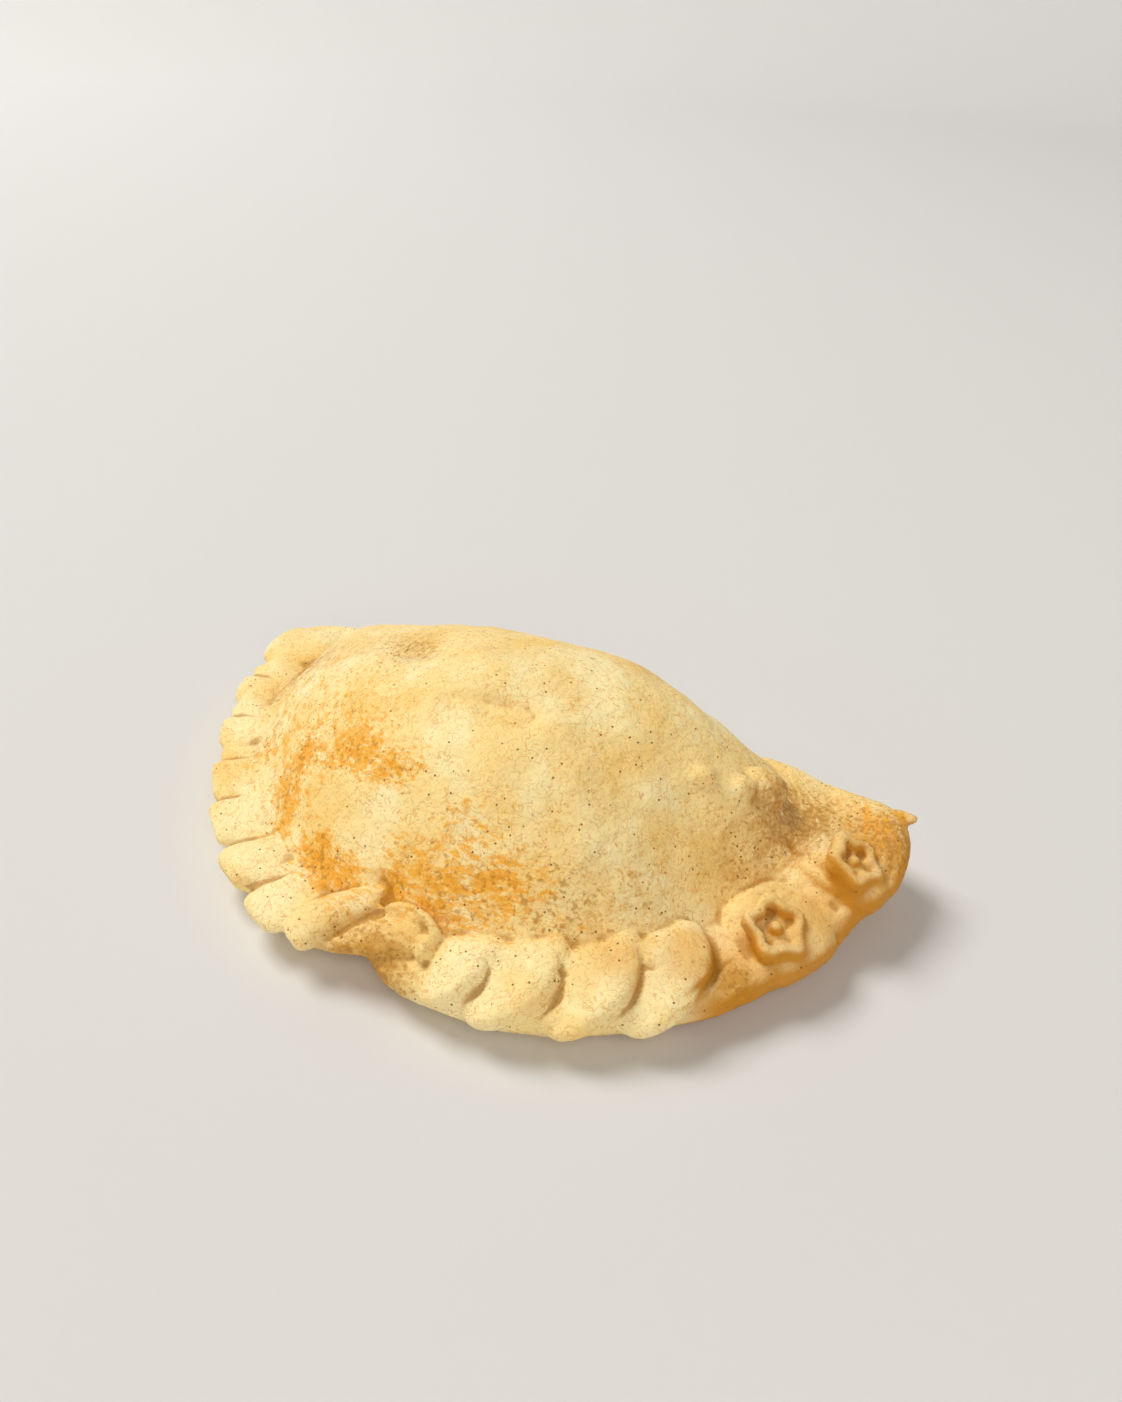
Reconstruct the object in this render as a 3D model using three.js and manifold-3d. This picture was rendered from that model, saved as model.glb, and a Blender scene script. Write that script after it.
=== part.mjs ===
// A baked empanada: a disc of dough folded over its filling, with the open edge crimped like a rope.
// Millimetres, +Z up. The fold lies along +Y at the back, and the crimp runs round the front from
// the blunt corner at -X to the tip at +X. The whole pastry is one solid that rests on a flat base.
import * as THREE from "three";
import { mergeVertices } from "three/addons/utils/BufferGeometryUtils.js";
import Module from "manifold-3d";

// Plan of the pastry
const DISC_RADIUS = 69.8; // the crimped edge is half of a round disc of dough
const DISC_CENTRE = { x: 0, y: 28 }; // it lies on the line of the fold
const FOLD_REACH_Y = 40.5; // the filling pushes the fold back to here at mid length
const FOLD_BOW = 8 / 68 ** 2; // the fold falls away towards both corners as x squared
const CORNER_SOFTNESS = 5; // rounds the two corners where fold and crimp meet
const TUCK = { angle: 4.75, width: 0.09, depth: 2.6 }; // the edge is drawn in under the twist

// Section of the pastry: a flange under the crimp, a full round roll at the fold
const APEX = { x: -4, y: 4.5 };
const DOME_HEIGHT = 37.4;
const FLANGE_WIDTH = 12;
const FOLD_SPAN = [0.15, 1]; // sine of the plan angle over which crimp turns into fold
const CRIMP_SECTION = { middle: 5.8, half: 3.6, round: 5, base: 0.78 };
const FOLD_SECTION = { middle: 11, half: 3, round: 4, base: 0.78 };
const MOUND = { halfLength: 54, halfWidth: 36, squareness: 2.9 }; // plan of the filling
const MOUND_SOFTNESS = 10; // blends it into the flange's inner edge
const DOME_SHAPE = { shoulder: 2.2, drop: 0.74 }; // exponents: fullness at the top and at the foot

// Towards the tip the dough curls up
const TIP_ANGLE = 0.35; // plan angle of the tip, seen from the apex
const TIP_LIFT = { extra: 5, span: [0.93, 1] }; // span: cosine of the angle away from the tip

// Soft hollows and lumps on the dome: place, radius and height
const LUMPS = [
  { x: 18, y: 22, radius: 14, height: 1.8 },
  { x: -32, y: 16, radius: 20, height: -2 },
  { x: -50, y: 27, radius: 8, height: 1.6 },
  { x: 40, y: 24, radius: 11, height: -1.8 },
  { x: 5, y: -1, radius: 9, height: -1.6 },
  { x: -2, y: 7, radius: 7, height: 0.8 },
  { x: 44, y: 13, radius: 4, height: 1.4 },
];

// Crimp, laid out by angle in degrees and radius about the disc's centre. Each fold of it runs from
// its inner radius and height to its outer ones, tilted down towards the edge.
const CRIMP_REACH = 70.4; // outer end of the folds of the crimp
const SCALLOPS = { count: 7, first: -178, pitch: 11.7, width: 14, thick: 5.4, tilt: 16 };
const SCALLOP_RUN = { inner: 57.5, high: 9, low: 5.8 };
const SCALLOP_TAPER = [0.85, 1]; // fullness at the inner and the outer end
const SCALLOP_SPREAD = 2.6; // the first and last scallops reach out this much further
const SCALLOP_LIFT = { extra: 3, span: [-180, -140] }; // they curl up towards the blunt corner
const ROPE = { count: 4, first: -83, pitch: 9.7, width: 13.4, thick: 8.6, tilt: 32 };
const ROPE_RUN = { inner: 59.5, high: 11, middle: 66, crest: 9.2, low: 5.6 };
const ROPE_TAPER = [1, 0.85];
const ROPE_LEAN = 9; // degrees that a fold of the rope leans towards the tip on its way in
const ROPE_LEAN_MIDDLE = 0.75; // share of the lean that is left at its middle
const ROPE_ROLL = 14; // degrees that its tip side stands up over the next fold
const FIRST_FOLD_SHORT = 1.6; // the first fold of the rope stops short of the edge
const PADS = { width: 14, thick: 8, tilt: 28, inner: 55.5, drop: 5 };
const PAD_PLACES = [
  { angle: -30.3, low: 5.4 },
  { angle: -12.1, low: 8.6 },
];
const ROSETTE = { radius: 4.1, ridge: 0.95, petals: 5, wave: 0.5, dot: 1.3, along: 0.55 };

// The twist where the scallops turn into the rope: a finger, a tongue beside it and a thin lip
const TWIST_FACING = { angle: -95, tilt: 25 };
const TWIST = [
  { path: [[-14.5, -43.5, 6], [-9, -37.5, 9], [-4, -31.6, 11]], width: 7, thick: 6, taper: [1, 1] },
  { path: [[-8.5, -42, 6], [-1, -37, 8.5], [6.5, -34, 8.5]], width: 8.5, thick: 7, taper: [0.4, 1] },
  { path: [[-2, -32.3, 9.5], [5, -30.4, 10.3], [10.5, -31.6, 9.5]], width: 2.6, thick: 4, taper: [1, 1] },
];

// A small torn flake at the very tip
const FLAKE = { path: [[65.5, 29.5, 14], [69.4, 31.4, 16]], width: 3.4, thick: 1.6, taper: [1, 0.6] };

// Mesh fineness
const BODY_SEGMENTS = 84;
const BODY_RINGS = 26;
const TOP_SHARE = 20 / 26; // share of the rings that lie on the upper side
const ROLL_SIDES = 12;
const ROLL_RINGS = 9;
const ROLL_BLUNTNESS = 0.45; // below 1 fills out the ends of a roll
const RING_STEPS = 30;
const RIDGE_SIDES = 6;
const DOT_SIDES = 10;
const WELD = 1e-4; // points closer than this are one

const wasm = await Module();
wasm.setup();

const smooth = (low, high, x) => THREE.MathUtils.smoothstep(x, low, high);
const mix = THREE.MathUtils.lerp;
const radians = THREE.MathUtils.degToRad;

// Positive root of a r^2 + b r + c = 0, for c below zero.
const rootOf = (a, b, c) => (-2 * c) / (b + Math.sqrt(b * b - 4 * a * c) + 1e-9);

// Distance from the apex to the disc's edge and to the bowed fold, along a plan angle.
function discReach(angle, radius) {
  const [x, y] = [APEX.x - DISC_CENTRE.x, APEX.y - DISC_CENTRE.y];
  const b = 2 * (x * Math.cos(angle) + y * Math.sin(angle));
  return rootOf(1, b, x * x + y * y - radius ** 2);
}

function foldReach(angle) {
  const [cos, sin] = [Math.cos(angle), Math.sin(angle)];
  const b = sin + 2 * FOLD_BOW * APEX.x * cos;
  return rootOf(FOLD_BOW * cos * cos, b, APEX.y + FOLD_BOW * APEX.x ** 2 - FOLD_REACH_Y);
}

function moundReach(angle) {
  const { halfLength, halfWidth, squareness } = MOUND;
  const x = Math.abs(Math.cos(angle) / halfLength) ** squareness;
  const y = Math.abs(Math.sin(angle) / halfWidth) ** squareness;
  return (x + y) ** (-1 / squareness);
}

// The nearer of two reaches, with the corner between them softened.
function nearer(a, b, softness) {
  const close = Math.max(softness - Math.abs(a - b), 0);
  return Math.min(a, b) - close ** 2 / (4 * softness);
}

// Section along a plan angle: a blend of the crimp's and the fold's.
function section(angle) {
  const crimp = 1 - smooth(...FOLD_SPAN, Math.sin(angle));
  const towardsTip = Math.cos(angle - TIP_ANGLE);
  const made = { crimp };
  for (const key of Object.keys(CRIMP_SECTION)) {
    made[key] = mix(FOLD_SECTION[key], CRIMP_SECTION[key], crimp);
  }
  const outline = nearer(discReach(angle, DISC_RADIUS), foldReach(angle), CORNER_SOFTNESS);
  const tuck = TUCK.depth * Math.exp(-(((angle - TUCK.angle) / TUCK.width) ** 2));
  made.reach = outline - tuck;
  made.middle += TIP_LIFT.extra * smooth(...TIP_LIFT.span, towardsTip);
  const foot = discReach(angle, DISC_RADIUS - FLANGE_WIDTH);
  made.domeReach = Math.min(nearer(foot, moundReach(angle), MOUND_SOFTNESS), made.reach);
  return made;
}

function lumpHeight(x, y) {
  let sum = 0;
  for (const lump of LUMPS) {
    const away = Math.hypot(x - lump.x, y - lump.y) / lump.radius;
    sum += lump.height * Math.exp(-away * away);
  }
  return sum;
}

// A point of the skin: ring 0 is the top of the dome, 1 the middle of the base.
function skinPoint(angle, ring, target) {
  const cut = section(angle);
  const above = ring <= TOP_SHARE;
  const along = above ? ring / TOP_SHARE : (1 - ring) / (1 - TOP_SHARE);
  const out = Math.sin((along * Math.PI) / 2);
  const radius = out * cut.reach;
  const x = APEX.x + radius * Math.cos(angle);
  const y = APEX.y + radius * Math.sin(angle);
  const edge = Math.max(0, (radius - cut.reach + cut.round) / cut.round);
  const roll = cut.half * Math.sqrt(Math.max(0, 1 - edge * edge));
  if (!above) {
    const flange = (cut.middle - roll) * smooth(cut.base, 1, out);
    const rise = Math.max(0, (out - cut.base) / (1 - cut.base));
    const belly = cut.middle * (1 - Math.sqrt(1 - rise * rise));
    return target.set(x, y, mix(belly, flange, cut.crimp));
  }
  const inDome = Math.min(1, radius / cut.domeReach);
  const dome = (1 - inDome ** DOME_SHAPE.shoulder) ** DOME_SHAPE.drop;
  const height = cut.middle + roll + (DOME_HEIGHT - cut.middle - cut.half) * dome;
  return target.set(x, y, height + lumpHeight(x, y));
}

function makeBody() {
  const ball = new THREE.SphereGeometry(1, BODY_SEGMENTS, BODY_RINGS);
  const { position, uv } = ball.attributes;
  const point = new THREE.Vector3();
  for (let i = 0; i < position.count; i++) {
    skinPoint(2 * Math.PI * uv.getX(i), 1 - uv.getY(i), point);
    position.setXYZ(i, point.x, point.y, point.z);
  }
  return ball;
}

// A point given by angle and radius about the disc's centre.
function onDisc(degrees, radius, z) {
  const x = DISC_CENTRE.x + radius * Math.cos(radians(degrees));
  const y = DISC_CENTRE.y + radius * Math.sin(radians(degrees));
  return new THREE.Vector3(x, y, z);
}

// The upward direction at a disc angle, tilted outward and rolled towards the blunt corner.
function outwardUp(degrees, tilt, roll = 0) {
  const out = onDisc(degrees, 1, 0).sub(onDisc(degrees, 0, 0));
  const tangent = new THREE.Vector3(-out.y, out.x, 0);
  const up = new THREE.Vector3(0, 0, Math.cos(radians(tilt)));
  up.addScaledVector(out, Math.sin(radians(tilt)));
  return up.addScaledVector(tangent, -Math.sin(radians(roll))).normalize();
}

// A roll of dough: a ball drawn out along a curve, flattened along `up`, with blunt ends whose
// fullness is set by `taper`.
function makeRoll({ points, width, thick, up, taper = [1, 1] }) {
  const curve = new THREE.CatmullRomCurve3(points);
  const ball = new THREE.SphereGeometry(1, ROLL_SIDES, ROLL_RINGS);
  const { position } = ball.attributes;
  const at = new THREE.Vector3();
  for (let i = 0; i < position.count; i++) {
    const along = (1 - position.getY(i)) / 2;
    const ring = Math.hypot(position.getX(i), position.getZ(i));
    const turn = Math.atan2(position.getZ(i), position.getX(i));
    const full = ring ** ROLL_BLUNTNESS * mix(taper[0], taper[1], along);
    const tangent = curve.getTangent(along);
    const side = new THREE.Vector3().crossVectors(up, tangent).normalize();
    const rise = new THREE.Vector3().crossVectors(tangent, side);
    curve.getPoint(along, at);
    at.addScaledVector(side, (full * Math.cos(turn) * width) / 2);
    at.addScaledVector(rise, (full * Math.sin(turn) * thick) / 2);
    position.setXYZ(i, at.x, at.y, at.z);
  }
  return ball;
}

const rollAlong = ({ path, width, thick, taper }, up) =>
  makeRoll({ points: path.map((p) => new THREE.Vector3(...p)), width, thick, up, taper });

// Flattened scallops from the blunt corner to the front.
function* scallops() {
  const { width, thick, tilt } = SCALLOPS;
  const { inner, high, low } = SCALLOP_RUN;
  for (let i = 0; i < SCALLOPS.count; i++) {
    const angle = SCALLOPS.first + SCALLOPS.pitch * i;
    const fromMiddle = (2 * i) / (SCALLOPS.count - 1) - 1;
    const reach = CRIMP_REACH + SCALLOP_SPREAD * fromMiddle ** 2;
    const lift = SCALLOP_LIFT.extra * (1 - smooth(...SCALLOP_LIFT.span, angle));
    const points = [onDisc(angle, inner, high + lift), onDisc(angle, reach, low + lift)];
    yield makeRoll({ points, width, thick, up: outwardUp(angle, tilt), taper: SCALLOP_TAPER });
  }
}

function* twist() {
  const up = outwardUp(TWIST_FACING.angle, TWIST_FACING.tilt);
  for (const roll of TWIST) {
    yield rollAlong(roll, up);
  }
}

// Bold folds that lie over each other like a rope.
function* ropeFolds() {
  const { width, thick, tilt } = ROPE;
  const { inner, high, middle, crest, low } = ROPE_RUN;
  for (let i = 0; i < ROPE.count; i++) {
    const angle = ROPE.first + ROPE.pitch * i;
    const reach = i === 0 ? CRIMP_REACH - FIRST_FOLD_SHORT : CRIMP_REACH;
    const points = [
      onDisc(angle + ROPE_LEAN, inner, high),
      onDisc(angle + ROPE_LEAN * ROPE_LEAN_MIDDLE, middle, crest),
      onDisc(angle, reach, low),
    ];
    const up = outwardUp(angle, tilt, ROPE_ROLL);
    yield makeRoll({ points, width, thick, up, taper: ROPE_TAPER });
  }
}

// A raised outline of a five-petalled flower with a dot, pressed on a pad.
function* rosette(centre, normal) {
  const ring = new THREE.TorusGeometry(ROSETTE.radius, ROSETTE.ridge, RIDGE_SIDES, RING_STEPS);
  const { position } = ring.attributes;
  for (let i = 0; i < position.count; i++) {
    const turn = Math.atan2(position.getY(i), position.getX(i));
    const out = ROSETTE.wave * Math.cos(ROSETTE.petals * turn);
    position.setX(i, position.getX(i) + out * Math.cos(turn));
    position.setY(i, position.getY(i) + out * Math.sin(turn));
  }
  const turned = new THREE.Quaternion().setFromUnitVectors(new THREE.Vector3(0, 0, 1), normal);
  for (const shape of [ring, new THREE.SphereGeometry(ROSETTE.dot, DOT_SIDES, RIDGE_SIDES)]) {
    yield shape.applyQuaternion(turned).translate(centre.x, centre.y, centre.z);
  }
}

// Two round pads near the tip, each with its rosette.
function* pads() {
  const { width, thick, tilt, inner, drop } = PADS;
  for (const { angle, low } of PAD_PLACES) {
    const up = outwardUp(angle, tilt);
    const points = [onDisc(angle, inner, low + drop), onDisc(angle, CRIMP_REACH, low)];
    yield makeRoll({ points, width, thick, up });
    const onTop = points[0].clone().lerp(points[1], ROSETTE.along).addScaledVector(up, thick / 2);
    yield* rosette(onTop, up);
  }
}

// Closed geometry to solid and back.
function toSolid(geometry) {
  const bare = geometry.clone();
  bare.deleteAttribute("normal");
  bare.deleteAttribute("uv");
  const merged = mergeVertices(bare, WELD);
  return new wasm.Manifold(
    new wasm.Mesh({
      numProp: 3,
      vertProperties: new Float32Array(merged.attributes.position.array),
      triVerts: new Uint32Array(merged.index.array),
    }),
  );
}

function toGeometry(solid) {
  const mesh = solid.getMesh();
  const geometry = new THREE.BufferGeometry();
  geometry.setAttribute("position", new THREE.BufferAttribute(mesh.vertProperties, 3));
  geometry.setIndex(new THREE.BufferAttribute(mesh.triVerts, 1));
  geometry.computeVertexNormals();
  return geometry;
}

const flake = rollAlong(FLAKE, new THREE.Vector3(0, 0, 1));
let whole = toSolid(makeBody());
for (const piece of [...scallops(), ...twist(), ...ropeFolds(), ...pads(), flake]) {
  whole = whole.add(toSolid(piece));
}

const crust = new THREE.MeshStandardMaterial({ color: 0xf0cb85, roughness: 0.6, metalness: 0 });
const pastry = new THREE.Mesh(toGeometry(whole), crust);
pastry.name = "pastry";

// The origin is under the middle of the pastry's box.
const box = new THREE.Box3().setFromObject(pastry);
const middle = box.getCenter(new THREE.Vector3());
pastry.position.set(-middle.x, -middle.y, -box.min.z);

const empanada = new THREE.Group();
empanada.add(pastry);
export default empanada;
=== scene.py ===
# %% [markdown]
# A baked empanada
#
# The real object is a disc of dough, about 14 cm across, folded over its filling and baked. The fold
# is a smooth round roll at the back. The open edge is closed by hand: flat scallops on the left, a
# twist where the fingers changed their hold, then bold rope folds and two pressed pads at the tip.
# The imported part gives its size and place, so it is loaded first and never moved.

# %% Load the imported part
import math

import bmesh
import bpy
import numpy as np
from mathutils import Matrix, Vector, noise


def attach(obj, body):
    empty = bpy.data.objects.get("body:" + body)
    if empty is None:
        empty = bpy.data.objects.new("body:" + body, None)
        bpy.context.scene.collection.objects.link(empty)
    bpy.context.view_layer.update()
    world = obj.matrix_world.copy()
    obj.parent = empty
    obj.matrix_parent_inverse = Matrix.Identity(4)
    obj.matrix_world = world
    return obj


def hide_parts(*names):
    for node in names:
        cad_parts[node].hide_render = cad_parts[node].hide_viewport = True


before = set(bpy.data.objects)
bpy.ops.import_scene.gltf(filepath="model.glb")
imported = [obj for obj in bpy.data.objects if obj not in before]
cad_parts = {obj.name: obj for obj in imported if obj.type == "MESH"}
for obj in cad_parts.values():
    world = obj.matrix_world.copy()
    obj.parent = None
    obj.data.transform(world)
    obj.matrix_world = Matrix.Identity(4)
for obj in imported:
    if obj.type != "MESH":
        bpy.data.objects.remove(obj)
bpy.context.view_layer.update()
MM = 0.001

# %% [markdown]
# The camera
#
# The photograph was taken from close by, with a wide lens, so the near edge looks large. A focal
# length in pixels becomes a lens for Blender's 36 mm sensor, which lies along the long side of the
# picture. The camera's turn is built from three plain rotations: heading, pitch and a slight roll.

# %% Camera at the photograph's angle
PHOTO_HEIGHT = 1402  # pixels, the long side
FOCAL_PIXELS = 1080
SENSOR = 36.0
CAMERA_PLACE = (79.57, -128.86, 139.98)  # mm
HEADING, PITCH, ROLL = (math.radians(degrees) for degrees in (26.7, -34.78, 3.04))

camera = bpy.data.objects.new("camera", bpy.data.cameras.new("camera"))
bpy.context.scene.collection.objects.link(camera)
bpy.context.scene.camera = camera
camera.data.sensor_width = SENSOR
camera.data.lens = FOCAL_PIXELS / PHOTO_HEIGHT * SENSOR
camera.data.clip_start = 0.01  # metres
turn = Matrix.Rotation(HEADING, 4, "Z") @ Matrix.Rotation(math.pi / 2 + PITCH, 4, "X")
turn = turn @ Matrix.Rotation(ROLL, 4, "Z")
camera.matrix_world = Matrix.Translation(Vector(CAMERA_PLACE) * MM) @ turn
print("lens in mm:", round(camera.data.lens, 2))

# %% [markdown]
# Colours and nodes
#
# Colours are written as the hex values that a picture program shows. Shaders work with linear light,
# so one function converts them. Another adds a node, sets its values and links its sockets, which
# keeps each material as short as a recipe.

# %% Helpers for materials
def linear(hex_colour):
    """An sRGB hex colour as linear RGBA."""
    parts = [int(hex_colour[i : i + 2], 16) / 255 for i in (1, 3, 5)]
    return [x / 12.92 if x <= 0.04045 else ((x + 0.055) / 1.055) ** 2.4 for x in parts] + [1.0]


def add(tree, kind, inputs=None, **settings):
    """Adds a node; inputs hold a value to set or another node's output to link."""
    node = tree.nodes.new(kind)
    for name, value in settings.items():
        setattr(node, name, value)
    for name, value in (inputs or {}).items():
        if isinstance(value, bpy.types.NodeSocket):
            tree.links.new(value, node.inputs[name])
        else:
            node.inputs[name].default_value = value
    return node


def new_material(name):
    """A material with its node tree and its main shader."""
    material = bpy.data.materials.new(name)
    material.use_nodes = True
    return material, material.node_tree, material.node_tree.nodes["Principled BSDF"]


print("a middle grey in linear light:", [round(x, 3) for x in linear("#808080")])

# %% [markdown]
# Floor and light
#
# Food looks soft under a large lamp that is close to it. A wide softbox stands behind and to the left,
# as in the photograph, a weaker one fills from the front, and a pale surrounding keeps the shaded
# side warm and open. The floor is a matt sheet whose far edge turns up all round, as studio paper
# does, so that no dark horizon shows. Half of its section is drawn and spun once about the middle.

# %% Studio floor
FLOOR_FLAT, FLOOR_BEND, FLOOR_WALL = 1.3, 0.5, 0.25  # metres: flat radius, radius of the bend, wall
BEND_STEPS, SPIN_STEPS = 16, 96
WHOLE_TURN = dict(axis=(0, 0, 1), angle=2 * math.pi, use_merge=True)  # for the spin operator
MERGE_GAP = 0.01 * MM

section = [(0, 0)]
for bend in np.linspace(0, math.pi / 2, BEND_STEPS):
    section.append((FLOOR_FLAT + FLOOR_BEND * math.sin(bend), FLOOR_BEND * (1 - math.cos(bend))))
section.append((FLOOR_FLAT + FLOOR_BEND, FLOOR_BEND + FLOOR_WALL))
bm = bmesh.new()
verts = [bm.verts.new((radius, 0, z)) for radius, z in section]
edges = [bm.edges.new(pair) for pair in zip(verts, verts[1:])]
bmesh.ops.spin(bm, geom=verts + edges, steps=SPIN_STEPS, **WHOLE_TURN)
bmesh.ops.remove_doubles(bm, verts=bm.verts, dist=MERGE_GAP)
bmesh.ops.recalc_face_normals(bm, faces=bm.faces)
for face in bm.faces:
    face.smooth = True
floor_mesh = bpy.data.meshes.new("floor")
bm.to_mesh(floor_mesh)
bm.free()
floor = bpy.data.objects.new("floor", floor_mesh)
bpy.context.scene.collection.objects.link(floor)

# rough paper fibres scatter the light, so the sheet shows a soft shadow and no shine
paper, _, paper_shader = new_material("matt studio paper")
paper_shader.inputs["Base Color"].default_value = linear("#dcdcdc")
paper_shader.inputs["Roughness"].default_value = 0.9
floor_mesh.materials.append(paper)
print("floor:", 2 * (FLOOR_FLAT + FLOOR_BEND), "m across,", len(floor_mesh.polygons), "faces")

# %% Studio light
VIEW_RIGHT = Vector((math.cos(HEADING), math.sin(HEADING), 0))
VIEW_AHEAD = Vector((-math.sin(HEADING), math.cos(HEADING), 0))
UP = Vector((0, 0, 1))
SURROUND_TINT, SURROUND_STRENGTH = "#f8f3ec", 0.2


def softbox(name, right, ahead, up, size, power, tint):
    """A square lamp at a place given from the camera's point of view, in metres, facing the pastry."""
    lamp = bpy.data.objects.new(name, bpy.data.lights.new(name, "AREA"))
    bpy.context.scene.collection.objects.link(lamp)
    lamp.location = VIEW_RIGHT * right + VIEW_AHEAD * ahead + UP * up
    lamp.rotation_euler = lamp.location.to_track_quat("Z", "Y").to_euler()
    lamp.data.size = size
    lamp.data.energy = power
    lamp.data.color = linear(tint)[:3]


softbox("key softbox", right=-1.3, ahead=0.9, up=2.2, size=1.2, power=53, tint="#fffdf8")
softbox("front softbox", right=0.4, ahead=-2.0, up=1.9, size=2.0, power=29, tint="#fff6ea")
world = bpy.data.worlds.new("pale studio")
bpy.context.scene.world = world
world.use_nodes = True
surround = world.node_tree.nodes["Background"]
surround.inputs["Color"].default_value = linear(SURROUND_TINT)
surround.inputs["Strength"].default_value = SURROUND_STRENGTH
bpy.context.scene.view_settings.view_transform = "Standard"

# %% [markdown]
# The filled body
#
# Half of the outline is the round edge of the dough disc, and the other half is the bowed fold. Over
# that plan the filling makes one mound with a soft foot. It could be sculpted by hand, but formulas
# keep it true to a few sizes. All of them are millimetres in the disc's own layout, and one shift at
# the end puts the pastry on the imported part. Distances are taken from the apex, the top of the mound.

# %% Sizes of the plan and the section
DISC_RADIUS = 69.0
DISC_CENTRE = np.array((0.0, 28.0))
FOLD_REACH_Y = 40.5  # the filling pushes the fold back to here
FOLD_BOW = 8 / 68**2  # it falls away as x squared, by 8 mm at 68 mm from the middle
CORNER_SOFTNESS = 5.0
APEX = np.array((-4.0, 4.5))
DOME_HEIGHT = 37.4
FLANGE = dict(back=10.2, front=6.7)  # widths
FOLD_SPAN = (0.15, 1.0)  # sine of the direction over which crimp turns into fold
CRIMP_SECTION = dict(middle=5.8, half=3.5, round=5.0)
FOLD_SECTION = dict(middle=11.0, half=3.0, round=4.0)
BASE_SHARE = 0.78  # share of the reach that lies flat
MOUND = dict(left=57.5, right=57.0, near=49.0, back=36.0, front=44.0, square=2.8, soft=10.0)
NEAR_SPAN = (0.3, -0.3)  # sine of the direction over which right turns into near
SHOULDER = 2.2  # exponent of the dome's profile near the top
FOOT = dict(steep=0.74, gentle=1.1)  # exponents at its foot: steep at the back, gentle elsewhere
FRONT_SPAN = (0.9, -0.3)  # sine of the direction over which back turns into front
TIP_SPAN = (0.55, 1.0)  # cosine of the angle from the tip's side
TIP_SIDE = -0.1
EDGE_CHANGES = (  # direction from the apex, its spread, and how far the edge moves out
    (-1.533, 0.12, -3.6),  # in under the twist
    (-2.0, 0.2, 1.8),  # out before it
    (-0.85, 0.38, 2.5),  # out under the rope
    (-0.4, 0.14, 1.2),  # and under the pads
)
TIP_ANGLE, CORNER_ANGLE = 0.35, 2.87  # the two corners, seen from the apex
TIP_LIFT, CORNER_LIFT = 4.6, 2.5
TIP_LIFT_SPAN, CORNER_LIFT_SPAN = (0.93, 1), (0.85, 1)  # cosine of the angle from each corner
print("dome in mm:", MOUND["left"] + MOUND["right"], "long,", DOME_HEIGHT, "high")

# %% Reach of the outline and of the dome
TINY = 1e-9  # keeps a division away from zero


def ease(low, high, x):
    """Rises softly from 0 to 1 as x goes from low to high."""
    t = np.clip((x - low) / (high - low), 0, 1)
    return t * t * (3 - 2 * t)


def root_of(a, b, c):
    """Positive root of a r^2 + b r + c = 0, for c below zero."""
    return -2 * c / (b + np.sqrt(b * b - 4 * a * c) + TINY)


def disc_reach(angle, radius):
    """Distance from the apex to a circle about the disc's centre."""
    x, y = APEX - DISC_CENTRE
    return root_of(1, 2 * (x * np.cos(angle) + y * np.sin(angle)), x * x + y * y - radius**2)


def fold_reach(angle):
    """Distance from the apex to the bowed fold."""
    slope = np.sin(angle) + 2 * FOLD_BOW * APEX[0] * np.cos(angle)
    return root_of(FOLD_BOW * np.cos(angle) ** 2, slope, APEX[1] + FOLD_BOW * APEX[0] ** 2 - FOLD_REACH_Y)


def mound_reach(angle):
    """Distance from the apex to the foot of the filling, a squarish oval."""
    right = MOUND["right"] + (MOUND["near"] - MOUND["right"]) * ease(*NEAR_SPAN, np.sin(angle))
    length = np.where(np.cos(angle) < 0, MOUND["left"], right)
    along = np.abs(np.cos(angle) / length) ** MOUND["square"]
    width = np.where(np.sin(angle) > 0, MOUND["back"], MOUND["front"])
    across = np.abs(np.sin(angle) / width) ** MOUND["square"]
    return (along + across) ** (-1 / MOUND["square"])


def nearer(a, b, softness):
    """The smaller of two distances, with a soft corner between them."""
    return np.minimum(a, b) - np.maximum(softness - np.abs(a - b), 0) ** 2 / (4 * softness)


def outline_reach(angle):
    """Distance from the apex to the edge of the dough."""
    outline = nearer(disc_reach(angle, DISC_RADIUS), fold_reach(angle), CORNER_SOFTNESS)
    for turn, spread, change in EDGE_CHANGES:
        outline = outline + change * np.exp(-(((angle - turn) / spread) ** 2))
    return outline


def dome_reach(angle):
    """Distance from the apex to the foot of the dome."""
    flange = FLANGE["back"] + (FLANGE["front"] - FLANGE["back"]) * ease(*FRONT_SPAN, np.sin(angle))
    foot = disc_reach(angle, DISC_RADIUS - flange)
    return np.minimum(nearer(foot, mound_reach(angle), MOUND["soft"]), outline_reach(angle))


print("reach to the front and the tip in mm:", outline_reach(np.radians([-90, 15])).round(1))

# %% [markdown]
# The skin over the filling
#
# No mound of filling is even. A few soft bumps and hollows give the dome its own outline: the slack
# hollows near the top, the swellings beside them and the dips beside the corners. One function gives
# the place of every point of the skin, by its direction from the apex and the ring that it lies on.

# %% Skin of the body
TOP_SHARE = 0.77  # share of the rings that lie on the upper side
BASE_SPARE = 0.6  # mm below the base, cut off flat later
LUMPS = (  # place on the plan, radius and height in mm
    (18, 22, 14, 1.8),
    (-32, 18, 20, -3.0),
    (-50, 27, 8, 1.6),
    (40, 24, 11, -0.6),
    (52, 31, 6, -1.4),
    (-21, 8, 6.5, -2.0),
    (-29, 3, 6, 0.6),
    (-5, 3, 6, 1.0),
    (5, 5, 5, 0.6),
    (-4.5, -9, 3.6, -0.9),
    (1, -6, 3.8, -1.2),
    (6.4, -3.2, 3.8, -1.3),
    (-2, -14, 4, 0.7),
    (6, -12, 4, 0.6),
    (24.7, 5.6, 6, 0.7),
)


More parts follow.
